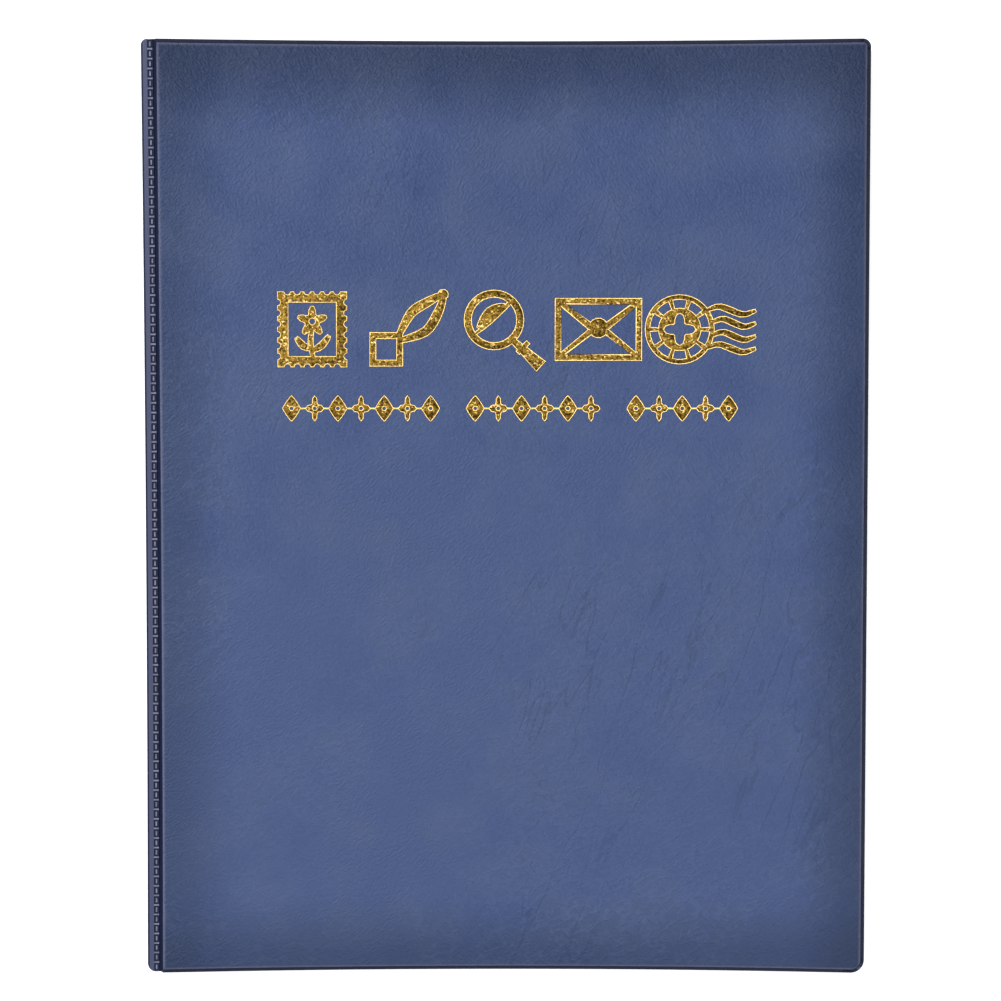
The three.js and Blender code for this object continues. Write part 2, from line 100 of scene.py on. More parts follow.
class CoverSettings(bpy.types.PropertyGroup):
    rim_width: FloatProperty(
        name="Welded rim",
        description="Width of the flat welded rim round the three free sides",
        default=1.0 * MM,
        unit="LENGTH",
    )
    skin_thickness: FloatProperty(
        name="Skin",
        description="Thickness of the leatherette",
        default=0.5 * MM,
        unit="LENGTH",
    )
    pad_edge: FloatProperty(
        name="Padded edge",
        description="Radius of the panel's rounded upper edge",
        default=1.1 * MM,
        unit="LENGTH",
    )
    pillow: FloatProperty(
        name="Pillow",
        description="How far the padding is pressed down at the panel's free edges",
        default=0.45 * MM,
        unit="LENGTH",
    )
    pillow_reach: FloatProperty(
        name="Pillow reach",
        description="How far in from the edge the padding is pressed",
        default=11 * MM,
        unit="LENGTH",
    )
    ripple: FloatProperty(
        name="Ripple",
        description="Depth of the slow unevenness of the padded surface",
        default=0.09 * MM,
        unit="LENGTH",
    )
    head_bow: FloatProperty(
        name="Head bow",
        description="How far the head edge is drawn in at its middle",
        default=0.8 * MM,
        unit="LENGTH",
    )
    tail_bow: FloatProperty(
        name="Tail bow",
        description="How far the tail edge is drawn in at its middle",
        default=1.2 * MM,
        unit="LENGTH",
    )
    binding_bow: FloatProperty(
        name="Binding bow",
        description="How far the binding edge is drawn in at its middle",
        default=0.4 * MM,
        unit="LENGTH",
    )
    leatherette: FloatVectorProperty(
        name="Leatherette",
        description="Colour of the covers",
        default=(0.035, 0.063, 0.167),
        subtype="COLOR",
        size=3,
    )
    faded: FloatVectorProperty(
        name="Faded leatherette",
        description="Colour of the covers where the leatherette is greyer",
        default=(0.050, 0.077, 0.163),
        subtype="COLOR",
        size=3,
    )
    # Painted shade: the covers' colour tends to this towards their edges, where the edge shade
    # darkens them.
    shaded: FloatVectorProperty(
        name="Shaded leatherette",
        description="Colour that the covers tend to at their drawn-down edges",
        default=(0.0, 0.010, 0.042),
        subtype="COLOR",
        size=3,
    )
    # Painted highlight: a lighter colour along the padded panel's rounded edge and on the ladder
    # seam's buttons and bars.
    painted_highlight: FloatVectorProperty(
        name="Painted edge highlight",
        description="Colour of the leatherette where the panel's edge is rubbed",
        default=(0.098, 0.104, 0.172),
        subtype="COLOR",
        size=3,
    )
    # Partly painted shade: the welded rim, the groove, the seam's cells and the strip's outer edge
    # take this dark colour, which is pressed vinyl darkened as shade.
    pressed_and_shaded_vinyl: FloatVectorProperty(
        name="Pressed and shaded vinyl",
        description="Colour of the skin where it is welded and in the groove",
        default=(0.006, 0.010, 0.032),
        subtype="COLOR",
        size=3,
    )
    lining: FloatVectorProperty(
        name="Lining",
        description="Colour of the sheet inside the covers",
        default=(0.012, 0.016, 0.032),
        subtype="COLOR",
        size=3,
    )


class BindingSettings(bpy.types.PropertyGroup):
    cells: IntProperty(
        name="Cells",
        description="Number of cells of the pressed ladder seam",
        default=96,
        min=10,
    )
    # The trimmed outer edge takes the pressed and shaded vinyl: painted shade on the strip's rounded
    # edge.
    edge_width: FloatProperty(
        name="Trimmed edge",
        description="Width of the dark trimmed outer edge",
        default=0.5 * MM,
        unit="LENGTH",
    )
    band_start: FloatProperty(
        name="Band start",
        description="From the outer edge to the ladder seam",
        default=1.75 * MM,
        unit="LENGTH",
    )
    cell_width: FloatProperty(
        name="Cell width",
        description="Width of a pressed cell",
        default=1.45 * MM,
        unit="LENGTH",
    )
    bar_width: FloatProperty(
        name="Bar",
        description="Width of the bar between two cells",
        default=0.42 * MM,
        unit="LENGTH",
    )
    button_inset: FloatProperty(
        name="Button inset",
        description="From a cell's wall to the raised button in it",
        default=0.34 * MM,
        unit="LENGTH",
    )
    cell_depth: FloatProperty(
        name="Cell depth",
        description="How deep the seam is pressed",
        default=0.3 * MM,
        unit="LENGTH",
    )
    groove_depth: FloatProperty(
        name="Groove depth",
        description="How far the hinge web sags in the groove",
        default=0.35 * MM,
        unit="LENGTH",
    )
    web_thickness: FloatProperty(
        name="Hinge web",
        description="Thickness of the skin in the groove",
        default=0.45 * MM,
        unit="LENGTH",
    )


class LeafSettings(bpy.types.PropertyGroup):
    rows: IntProperty(
        name="Pocket rows",
        description="Number of pockets on one side of a leaf",
        default=6,
        min=1,
    )
    side_weld: FloatProperty(
        name="Side weld",
        description="From a leaf's edge to its pockets",
        default=4 * MM,
        unit="LENGTH",
    )
    slit: FloatProperty(
        name="Slit",
        description="Open upper edge of a pocket",
        default=0.8 * MM,
        unit="LENGTH",
    )
    film_thickness: FloatProperty(
        name="Film",
        description="Thickness of the clear film",
        default=0.1 * MM,
        unit="LENGTH",
    )
    seam_width: FloatProperty(
        name="Seam",
        description="Width of a welded seam of the film",
        default=1.2 * MM,
        unit="LENGTH",
    )
    lip: FloatProperty(
        name="Lip",
        description="How far a pocket's open edge stands off the sheet",
        default=0.08 * MM,
        unit="LENGTH",
    )
    sheet_colour: FloatVectorProperty(
        name="Leaf sheet",
        description="Colour of the leaves",
        default=(0.010, 0.010, 0.012),
        subtype="COLOR",
        size=3,
    )


class FoilSettings(bpy.types.PropertyGroup):
    rim_width: FloatProperty(
        name="Bright rim",
        description="Width of the bright edge of the stamped foil",
        default=0.14 * MM,
        unit="LENGTH",
    )
    rim: FloatVectorProperty(
        name="Rim",
        description="Colour of the foil's bright edge",
        default=(0.90, 0.62, 0.19),
        subtype="COLOR",
        size=3,
    )
    heart: FloatVectorProperty(
        name="Heart",
        description="Colour of the crackled foil inside its edge",
        default=(0.245, 0.138, 0.010),
        subtype="COLOR",
        size=3,
    )


class StageSettings(bpy.types.PropertyGroup):
    distance: FloatProperty(
        name="Camera distance",
        description="From the camera to the front cover",
        default=0.9,
        unit="LENGTH",
    )
    lean: FloatProperty(
        name="Camera lean",
        description="How far the camera stands towards the head",
        default=64 * MM,
        unit="LENGTH",
    )
    view_width: FloatProperty(
        name="View width",
        description="Width that the camera takes in at the front cover",
        default=277.0 * MM,
        unit="LENGTH",
    )
    aim: FloatVectorProperty(
        name="Aim",
        description="Point of the front cover in the middle of the view",
        default=(-1.4 * MM, 2.9 * MM),
        subtype="XYZ",
        unit="LENGTH",
        size=2,
    )
    floor: FloatVectorProperty(
        name="Floor",
        description="Colour of the floor",
        default=(0.93, 0.93, 0.93),
        subtype="COLOR",
        size=3,
    )


class AlbumSettings(bpy.types.PropertyGroup):
    cover: PointerProperty(type=CoverSettings)
    binding: PointerProperty(type=BindingSettings)
    leaf: PointerProperty(type=LeafSettings)
    foil: PointerProperty(type=FoilSettings)
    stage: PointerProperty(type=StageSettings)


# ---- finishes -----------------------------------------------------------------------------


class Value:
    """A shader socket that can stand in sums and products."""

    def __init__(self, finish, socket):
        self.finish = finish
        self.socket = socket

    def math(self, operation, *others):
        terms = dict(enumerate((self, *others)))
        return self.finish.node("ShaderNodeMath", {"operation": operation}, terms)

    def __add__(self, other):
        return self.math("ADD", other)

    def __sub__(self, other):
        return self.math("SUBTRACT", other)

    def __mul__(self, other):
        return self.math("MULTIPLY", other)

    def __rsub__(self, other):
        return (self * -1) + other

    __radd__ = __add__
    __rmul__ = __mul__

    def above(self, low, high):
        """0 below low, 1 above high, and smooth between them."""
        return self.finish.node(
            "ShaderNodeMapRange",
            {"interpolation_type": "SMOOTHSTEP"},
            {"Value": self, "From Min": low, "From Max": high},
        )


class Finish:
    """One procedural material and the nodes that feed its shader."""

    def __init__(self, name):
        self.material = bpy.data.materials.new(f"{name}_finish")
        self.material.use_nodes = True
        self.tree = self.material.node_tree
        self.shader = self.tree.nodes["Principled BSDF"]

    def node(self, kind, settings, inputs, output=0):
        made = self.tree.nodes.new(kind)
        for key, value in settings.items():
            setattr(made, key, value)
        for key, value in inputs.items():
            self.feed(made.inputs[key], value)
        return Value(self, made.outputs[output])

    def feed(self, socket, value):
        if isinstance(value, Value):
            self.tree.links.new(value.socket, socket)
        else:
            socket.default_value = value

    def shade(self, **sockets):
        """Sets the shader's sockets: base_color, roughness, coat_weight and the like."""
        for key, value in sockets.items():
            name = key.replace("_", " ").title().replace("Ior", "IOR")
            self.feed(self.shader.inputs[name], value)

    def place(self):
        return self.node("ShaderNodeTexCoord", {}, {}, "Object")

    def axes(self):
        """The three coordinates of a point of the piece."""
        parts = self.node("ShaderNodeSeparateXYZ", {}, {"Vector": self.place()})
        outputs = parts.socket.node.outputs
        return [Value(self, outputs[i]) for i in range(3)]

    def noise(self, per_metre, detail=3, roughness=0.5, at=None):
        inputs = {
            "Vector": at or self.place(),
            "Scale": per_metre,
            "Detail": detail,
            "Roughness": roughness,
        }
        return self.node("ShaderNodeTexNoise", {}, inputs)

    def cells(self, per_metre):
        """Distance to the nearest cell's middle."""
        inputs = {"Vector": self.place(), "Scale": per_metre}
        return self.node("ShaderNodeTexVoronoi", {"feature": "F1"}, inputs)

    def stretched(self, turn, per_metre):
        """The point in turned axes of unlike scales, for marks that run one way."""
        scale = tuple(1 / each for each in per_metre)
        return self.node(
            "ShaderNodeMapping",
            {"vector_type": "TEXTURE"},
            {"Vector": self.place(), "Rotation": (0, 0, turn), "Scale": scale},
        )

    def creases(self, turn, along, across, width):
        """1 on thin wandering lines that run mostly one way, 0 between them."""
        hills = self.noise(1, detail=2, at=self.stretched(turn, (along, across, across)))
        return 1 - (hills - 0.5).math("ABSOLUTE").above(0.0, width)

    def mix(self, factor, first, second):
        return self.node(
            "ShaderNodeMix",
            {"data_type": "RGBA"},
            {0: factor, 6: as_colour(first), 7: as_colour(second)},
            2,
        )

    def bump(self, height, distance):
        inputs = {"Height": height, "Distance": distance, "Strength": 1.0}
        return self.node("ShaderNodeBump", {}, inputs)


def as_colour(value):
    """A plain colour gets the alpha that a colour socket wants; a value stays."""
    if isinstance(value, Value):
        return value
    return (*value[:3], 1.0)


def scaled_colour(colour, factor):
    return tuple(channel * factor for channel in colour[:3])


def leather_grain(finish):
    """Height of a fine wrinkled leatherette, its net of creases and its folds."""
    wear_and_highlight = finish.noise(24, detail=2).above(0.38, 0.62)
    leaning = finish.noise(34, detail=1).above(0.40, 0.60)
    rising = finish.noise(1, detail=2, at=finish.stretched(0.75, (950, 1700, 1200)))
    falling = finish.noise(1, detail=2, at=finish.stretched(-0.9, (950, 1700, 1200)))
    wrinkles = (rising + (falling - rising) * leaning).above(0.28, 0.72)
    crossing = finish.creases(0.5, 130, 330, 0.06) + finish.creases(-0.95, 120, 310, 0.055)
    net = crossing * (0.15 + wear_and_highlight * 0.85)
    patches = finish.noise(15, detail=2).above(0.50, 0.62)
    folds = finish.creases(1.2, 22, 120, 0.02) * patches
    dust = finish.noise(2300, detail=1)
    relief = 0.35 + finish.axes()[1].above(TAIL / 2, HEAD) * 0.65
    height = wrinkles * (0.75 - wear_and_highlight * 0.25) * relief + net * 0.15 + dust * 0.30 - folds * 0.2
    return height, net, folds


def edge_shade(finish):
    """Painted shade: 1 over the middle of a cover, falling towards its four edges."""
    x, y, _ = finish.axes()
    fore = x.above(RIGHT - 24 * MM, RIGHT - 2 * MM)
    head = y.above(HEAD - 30 * MM, HEAD - 3 * MM)
    tail = 1 - y.above(TAIL + 3 * MM, TAIL + 25 * MM)
    hinge = 1 - x.above(PANEL_LEFT - 1 * MM, PANEL_LEFT + 24 * MM)
    return (
        (1 - fore * 0.58) * (1 - head * 0.70) * (1 - tail * 0.52) * (1 - hinge * 0.52)
    )


def leatherette(settings):
    finish = Finish("leatherette")
    height, net, folds = leather_grain(finish)
    mottle = finish.noise(420, detail=3, roughness=0.6)
    # Painted shade: the colour darkens towards the cover's four edges and tends to the shaded colour
    # there; the mottle is the leatherette's own uneven tone.
    painted_light_and_mottle = edge_shade(finish) * (0.93 + mottle * 0.14)
    # Painted highlight and shade: the raised grain and the net of creases are painted lighter, the
    # folds darker.
    painted_light_and_mottle = painted_light_and_mottle * (0.89 + height * 0.15 + net * 0.15) * (1 - folds * 0.16)
    faded = finish.noise(48, detail=3).above(0.38, 0.66)
    hue = finish.mix(faded * 0.45, settings.cover.leatherette, settings.cover.faded)
    plain = finish.mix(painted_light_and_mottle, settings.cover.shaded, hue)
    # Painted highlight along the panel's rounded edge, varied by the mottle.
    rub_and_highlight = finish.node("ShaderNodeAttribute", {"attribute_name": PAINTED_EDGE_HIGHLIGHT}, {}, "Fac")
    colour = finish.mix(rub_and_highlight * (0.4 + mottle * 0.5), plain, settings.cover.painted_highlight)
    finish.shade(
        base_color=colour,
        roughness=0.48 + mottle * 0.12,
        specular_ior_level=0.36,
        normal=finish.bump(height, 0.42 * MM),
    )
    return finish.material


def welded_strip(settings):
    finish = Finish("welded_strip")
    rub_and_highlight = finish.noise(1, detail=3, at=finish.stretched(0, (900, 120, 900)))
    fine = finish.noise(1800, detail=1)
    blue = scaled_colour(settings.cover.leatherette, 0.8)
    colour = finish.mix(rub_and_highlight, blue, (0.050, 0.046, 0.085))
    finish.shade(
        base_color=colour,
        roughness=0.38 + rub_and_highlight * 0.16,
        specular_ior_level=0.4,
        normal=finish.bump(rub_and_highlight * 0.6 + fine * 0.5, 0.08 * MM),
    )
    return finish.material


def pressed_and_shaded_vinyl(settings):
    finish = Finish("pressed_and_shaded_vinyl")
    streaks = finish.noise(1, detail=3, at=finish.stretched(0, (900, 160, 900)))
    wear = finish.noise(260, detail=4)
    colour = finish.mix(
        wear * 0.4,
        settings.cover.pressed_and_shaded_vinyl,
        scaled_colour(settings.cover.leatherette, 0.4),
    )
    finish.shade(
        base_color=colour,
        roughness=0.32 + streaks * 0.2,
        specular_ior_level=0.14,
        normal=finish.bump(streaks + wear, 0.03 * MM),
    )
    return finish.material


def highlit_seam_tops(settings):
    finish = Finish("highlit_seam_tops")
    # Painted highlight: the buttons and bars of the ladder seam are painted lighter than the strip,
    # varied by a noise.
    rub_and_highlight = finish.noise(700, detail=3)
    wear_and_highlight = scaled_colour(settings.cover.painted_highlight, 1.7)
    finish.shade(
        base_color=finish.mix(rub_and_highlight.above(0.40, 0.62), settings.cover.painted_highlight, wear_and_highlight),
        roughness=0.30 + rub_and_highlight * 0.2,
        specular_ior_level=0.5,
        normal=finish.bump(rub_and_highlight, 0.08 * MM),
    )
    return finish.material


def lining_vinyl(settings):
    finish = Finish("lining_vinyl")
    weave = finish.cells(1500)
    cloud = finish.noise(60, detail=3)
    colour = finish.mix(
        cloud * 0.6, settings.cover.lining, scaled_colour(settings.cover.lining, 1.8)
    )
    finish.shade(
        base_color=colour,
        roughness=0.42 + cloud * 0.16,
        normal=finish.bump(weave, 0.05 * MM),
    )
    return finish.material


def grey_board():
    finish = Finish("grey_board")
    fibres = finish.noise(1, detail=4, at=finish.stretched(0.4, (1500, 400, 1500)))
    flecks = finish.noise(900, detail=3).above(0.55, 0.75)
    colour = finish.mix(flecks, (0.28, 0.25, 0.21), (0.13, 0.12, 0.10))
    finish.shade(
        base_color=colour,
        roughness=0.8 + fibres * 0.15,
        normal=finish.bump(fibres, 0.06 * MM),
    )
    return finish.material


def foam_sheet():
    finish = Finish("foam_sheet")
    pores = finish.cells(1300)
    colour = finish.mix(pores, (0.42, 0.40, 0.34), (0.72, 0.69, 0.62))
    finish.shade(base_color=colour, roughness=0.95, normal=finish.bump(pores, 0.2 * MM))
    return finish.material


def black_sheet(settings):
    finish = Finish("black_sheet")
    matt = finish.noise(1400, detail=3)
    handling = finish.noise(22, detail=3)
    colour = finish.mix(
        handling * 0.8,
        settings.leaf.sheet_colour,
        scaled_colour(settings.leaf.sheet_colour, 2.2),
    )
    finish.shade(
        base_color=colour,
        roughness=0.40 + handling * 0.2,
        specular_ior_level=0.3,
        normal=finish.bump(matt, 0.02 * MM),
    )
    return finish.material


def clear_film():
    finish = Finish("clear_film")
    cockle = finish.noise(1, detail=1, at=finish.stretched(0, (9, 26, 9)))
    dust = finish.noise(3000, detail=2).above(0.64, 0.8)
    finish.shade(
        base_color=finish.mix(dust, (0.020, 0.023, 0.027), (0.35, 0.36, 0.37)),
        roughness=0.10 + dust * 0.3,
        alpha=0.34 + dust * 0.12,
        normal=finish.bump(cockle, 0.5 * MM),
    )
    return finish.material


def film_seam():
    finish = Finish("film_seam")
    knurl = finish.cells(1700)
    finish.shade(
        base_color=finish.mix(knurl, (0.018, 0.019, 0.021), (0.085, 0.09, 0.10)),
        roughness=0.30 + knurl * 0.2,
        alpha=0.55 + knurl * 0.2,
        normal=finish.bump(knurl, 0.05 * MM),
    )
    return finish.material


def foil_rim(settings):
    finish = Finish("foil_rim")
    glint = finish.noise(1500, detail=2)
    dull = glint.above(0.36, 0.60)
    colour = finish.mix(dull, scaled_colour(settings.foil.rim, 0.62), settings.foil.rim)
    finish.shade(
        base_color=colour,
        metallic=0.85,
        roughness=0.28 + glint * 0.1,
        normal=finish.bump(glint, 0.02 * MM),
    )
    return finish.material


def foil_heart(settings):
    finish = Finish("foil_heart")
    crackle = finish.noise(1250, detail=3, roughness=0.65)
    pits = crackle.above(0.42, 0.52)
    specks = finish.noise(1600, detail=2).above(0.57, 0.68)
    wear_and_highlight = finish.mix(pits, scaled_colour(settings.foil.heart, 0.22), settings.foil.heart)
    colour = finish.mix(specks, wear_and_highlight, scaled_colour(settings.foil.rim, 0.9))
    finish.shade(
        base_color=colour,
        metallic=0.75,
        roughness=0.34 + pits * 0.1,
        normal=finish.bump(crackle, 0.3 * MM),
    )
    return finish.material


def floor_finish(settings):
    finish = Finish("floor")
    speck = finish.noise(30, detail=2)
    colour = finish.mix(speck, settings.stage.floor, scaled_colour(settings.stage.floor, 1.03))
    finish.shade(
        base_color=colour, roughness=0.9, emission_color=(1, 1, 1, 1), emission_strength=0.35
    )
    return finish.material


def finish_named(name, make, *arguments):
    """The finish, made the first time that a piece asks for it."""
    return bpy.data.materials.get(f"{name}_finish") or make(*arguments)


# ---- mesh helpers -------------------------------------------------------------------------


def smooth_share(value):
    """0 to 1 with level ends, for value from 0 to 1."""
    value = min(max(value, 0.0), 1.0)
    return value * value * (3 - 2 * value)


def slab(bm, low, high, corners):
    """A flat slab between two corners of a box; corners holds (side in x, side in y, radius)."""
    bmesh.ops.create_grid(bm, x_segments=1, y_segments=1, size=0.5)
    size = high - low
    bmesh.ops.scale(bm, vec=(size.x, size.y, 1), verts=bm.verts)
    middle = (low + high) / 2
    bmesh.ops.translate(bm, vec=(middle.x, middle.y, low.z), verts=bm.verts)
    for side_x, side_y, radius in corners:
        corner = max(bm.verts, key=lambda v: side_x * v.co.x + side_y * v.co.y)
        bmesh.ops.bevel(
            bm,
            geom=[corner],
            offset=radius,
            offset_type="OFFSET",
            segments=CORNER_SEGMENTS,
            profile=0.5,
            affect="VERTICES",
            material=-1,
        )
    lift_faces(bm, list(bm.faces), UP * size.z)
    bmesh.ops.recalc_face_normals(bm, faces=bm.faces)


def lift_faces(bm, faces, move):
    """Extrudes the faces as one region and moves the new ones; returns those."""
    made = bmesh.ops.extrude_face_region(bm, geom=faces)["geom"]
    verts = [item for item in made if isinstance(item, bmesh.types.BMVert)]
    bmesh.ops.translate(bm, vec=move, verts=verts)
    return [item for item in made if isinstance(item, bmesh.types.BMFace)]


def cut(bm, axis, places):
    """Cuts the whole mesh by planes across one axis."""
    normal = Vector([1.0 if i == axis else 0.0 for i in range(3)])
    for place in places:
        bmesh.ops.bisect_plane(
            bm,
            geom=[*bm.verts, *bm.edges, *bm.faces],
            dist=TINY,
            plane_co=normal * place,
            plane_no=normal,
        )


def graded(low, high, step, near):
    """Places from low to high: near both ends as listed, and step apart between."""
    first = low + near[-1]
    last = high - near[-1]
    count = max(1, round((last - first) / step))
    inner = [first + (last - first) * i / count for i in range(1, count)]
    return [low + n for n in near] + inner + [high - n for n in reversed(near)]


def evenly(low, high, count):
    """The places that divide low to high in count parts."""
    return [low + (high - low) * i / count for i in range(1, count)]


def drawn_in(co, cover, head_bow, tail_bow):
    """The outline pulled in between its corners, as the welded skin pulls it."""
    across = max(0.0, 1 - (2 * co.x / (RIGHT - LEFT)) ** 2)
    along = max(0.0, 1 - (co.y / HEAD) ** 2)
    end = smooth_share((abs(co.y) - HEAD + BOW_REACH) / BOW_REACH)
    side = smooth_share((LEFT + BOW_REACH - co.x) / BOW_REACH)
    pull = head_bow if co.y > 0 else tail_bow
    return Vector(
        (
            co.x + cover.binding_bow * along * side,
            co.y - math.copysign(pull * across * end, co.y),
            co.z,
        )
    )


def bow(bm, cover, head_bow=None, tail_bow=None):
    head_bow = cover.head_bow if head_bow is None else head_bow
    tail_bow = cover.tail_bow if tail_bow is None else tail_bow
    for vert in bm.verts:
        vert.co = drawn_in(vert.co, cover, head_bow, tail_bow)


def press(co, cover):
    """How far the padding is pressed down at a point of a cover."""
    rim = cover.rim_width
    edge = min(RIGHT - rim - co.x, HEAD - rim - co.y, co.y - TAIL - rim)
    hinge = co.x - PANEL_LEFT
    free = (1 - smooth_share(edge / cover.pillow_reach)) ** 2
    bound = (1 - smooth_share(hinge / (0.6 * cover.pillow_reach))) ** 2
    return cover.pillow * max(free, 0.7 * bound)


def mirror_down(bm, height):
    """Mirrors a piece downwards, so that z = 0 comes to lie at the height."""
    for vert in bm.verts:
        vert.co.z = height - vert.co.z
    bmesh.ops.reverse_faces(bm, faces=bm.faces)


def turn_over(bm):
    """Turns a front cover layer over about X, into the back cover's place."""
    bmesh.ops.rotate(bm, cent=(0, 0, 0), matrix=Matrix.Rotation(math.pi, 3, "X"), verts=bm.verts)
    back_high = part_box("back_cover_lining")[1].z
    bmesh.ops.translate(bm, vec=(0, 0, back_high + LINING_LOW.z), verts=bm.verts)


def finished(name, bm, materials, body, replaces, sharp=40):
    """Makes the piece's object, which rides on its body and stands for its CAD nodes."""
    for face in bm.faces:
        face.smooth = True
    mesh = bpy.data.meshes.new(name)
    bm.to_mesh(mesh)
    bm.free()
    for material in materials:
        mesh.materials.append(material)
    mesh.set_sharp_from_angle(angle=math.radians(sharp))
    piece = bpy.data.objects.new(name, mesh)
    bpy.context.scene.collection.objects.link(piece)
    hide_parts(*replaces)
    if body:
        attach(piece, body)
    return piece


# ---- covers -------------------------------------------------------------------------------


HEAD_RADIUS = 1.3 * MM
TAIL_RADIUS = 2.8 * MM
CORE_CLEARANCE = 0.15 * MM
PRESSED_SHARE = 0.6
EDGE_SEGMENTS = 6
PANEL_STEP = 5 * MM
PLATE_STEP = 12 * MM
PANEL_NEAR = [n * MM for n in (1.4, 2.4, 3.6, 5, 7, 9.5, 12.5)]
PLATE_NEAR = [n * MM for n in (0.4, 1.2, 3, 6, 10)]
FOIL_Y = 40 * MM
FOIL_HALF_HEIGHT = 22 * MM
FOIL_MARGIN = 14 * MM
RIPPLES_PER_METRE = 26


def corner_radii(turned, extra):
    """The fore-edge corners' radii; the back cover has its own swapped."""
    head = HEAD_RADIUS + extra
    tail = TAIL_RADIUS + extra
    if turned:
        head, tail = tail, head
    return [(1, 1, head), (1, -1, tail)]


def cover_bows(cover, turned):
    if turned:
        return cover.tail_bow, cover.head_bow
    return cover.head_bow, cover.tail_bow


def padded_panel(bm, cover, low, high, turned):
    """The panel's block, with its upper edges rounded."""
    slab(bm, low, high, corner_radii(turned, 0))
    upper = [e for e in bm.edges if all(abs(v.co.z - high.z) < TINY for v in e.verts)]
    bmesh.ops.bevel(
        bm,
        geom=upper,
        offset=cover.pad_edge,
        offset_type="OFFSET",
        segments=EDGE_SEGMENTS,
        profile=0.5,
        affect="EDGES",
        clamp_overlap=False,
        material=-1,
    )


def welded_rim(bm, cover, rim_top):
    """Draws the foot of the panel's three free sides out into the flat rim."""
    cut(bm, 2, [rim_top])
    sides = [
        f
        for f in bm.faces
        if abs(f.normal.z) < 0.1
        and f.normal.x > -0.5
        and f.calc_center_median().z < rim_top
    ]
    rim = set(lift_faces(bm, sides, Vector((0, 0, 0))))
    moves = {}
    for vert in {v for f in rim for v in f.verts}:
        normals = [f.normal for f in vert.link_faces if f in rim]
        mean = sum(normals, Vector()) / len(normals)
        moves[vert] = mean * (cover.rim_width / mean.length_squared)
    for vert, move in moves.items():
        vert.co += move
    bmesh.ops.recalc_face_normals(bm, faces=bm.faces)


def hollow_out(bm, cover, depth):
    """Opens the panel from below, so that its walls are as thick as the skin."""
    floor = max((f for f in bm.faces if f.normal.z < -0.9), key=lambda f: f.calc_area())
    bmesh.ops.inset_region(
        bm, faces=[floor], thickness=cover.skin_thickness, use_even_offset=True
    )
    lift_faces(bm, [floor], UP * depth)


def on_rim(place, cover):
    return (
        place.x > RIGHT - cover.rim_width
        or place.y > HEAD - cover.rim_width
        or place.y < TAIL + cover.rim_width
    )


def pad(bm, cover, low, high, rim_top):
    """Presses the panel down near its edges, ripples it and marks where its rounded edge gets a
    painted highlight.
    """
    pressed_above = low.z + PRESSED_SHARE * (high.z - low.z)
    rub_and_highlight = bm.verts.layers.float.new(PAINTED_EDGE_HIGHLIGHT)
    for vert in bm.verts:
        edge = min(high.x - vert.co.x, high.y - vert.co.y, vert.co.y - low.y)
        edge = min(edge, vert.co.x - low.x)
        vert[rub_and_highlight] = 1 - smooth_share(edge / cover.pad_edge) if vert.co.z > rim_top else 0
        if vert.co.z > pressed_above:
            calm = smooth_share((abs(vert.co.y - FOIL_Y) - FOIL_HALF_HEIGHT) / FOIL_MARGIN)
            wave = 0.5 + 0.5 * noise.noise(vert.co * RIPPLES_PER_METRE)
            vert.co.z -= press(vert.co, cover) + cover.ripple * wave * calm


def cover_skin(cover, turned):
    """The padded panel and its flat welded rim, hollow from below."""
    bm = bmesh.new()
    low = Vector((PANEL_LEFT, TAIL + cover.rim_width, SKIN_LOW.z))
    high = Vector((RIGHT - cover.rim_width, HEAD - cover.rim_width, SKIN_HIGH.z))
    rim_top = low.z + cover.skin_thickness
    padded_panel(bm, cover, low, high, turned)
    welded_rim(bm, cover, rim_top)
    hollow_out(bm, cover, high.z - cover.skin_thickness - low.z)
    cut(bm, 0, graded(PANEL_LEFT, RIGHT - cover.rim_width, PANEL_STEP, PANEL_NEAR))
    cut(bm, 1, graded(TAIL + cover.rim_width, HEAD - cover.rim_width, PANEL_STEP, PANEL_NEAR))
    # The welded rim takes the pressed and shaded vinyl: pressed vinyl with painted shade.
    for face in bm.faces:
        face.material_index = 1 if on_rim(face.calc_center_median(), cover) else 0
    pad(bm, cover, low, high, rim_top)
    bow(bm, cover, *cover_bows(cover, turned))
    return bm


def cover_plate(cover, turned, layer, inset, hinge_inset):
    """A plain layer of a cover: its lining, board or foam, which is pressed with the skin."""
    low_z, high_z = (corner.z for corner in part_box(f"front_cover_{layer}"))
    bm = bmesh.new()
    low = Vector((PANEL_LEFT + hinge_inset, TAIL + inset, low_z))
    high = Vector((RIGHT - inset, HEAD - inset, high_z))
    slab(bm, low, high, corner_radii(turned, cover.rim_width - inset))
    cut(bm, 0, graded(low.x, high.x, PLATE_STEP, PLATE_NEAR))
    cut(bm, 1, graded(low.y, high.y, PLATE_STEP, PLATE_NEAR))
    if layer == "foam":
        for vert in bm.verts:
            if vert.co.z > (low_z + high_z) / 2:
                vert.co.z -= press(vert.co, cover) + cover.ripple
    bow(bm, cover, *cover_bows(cover, turned))
    return bm


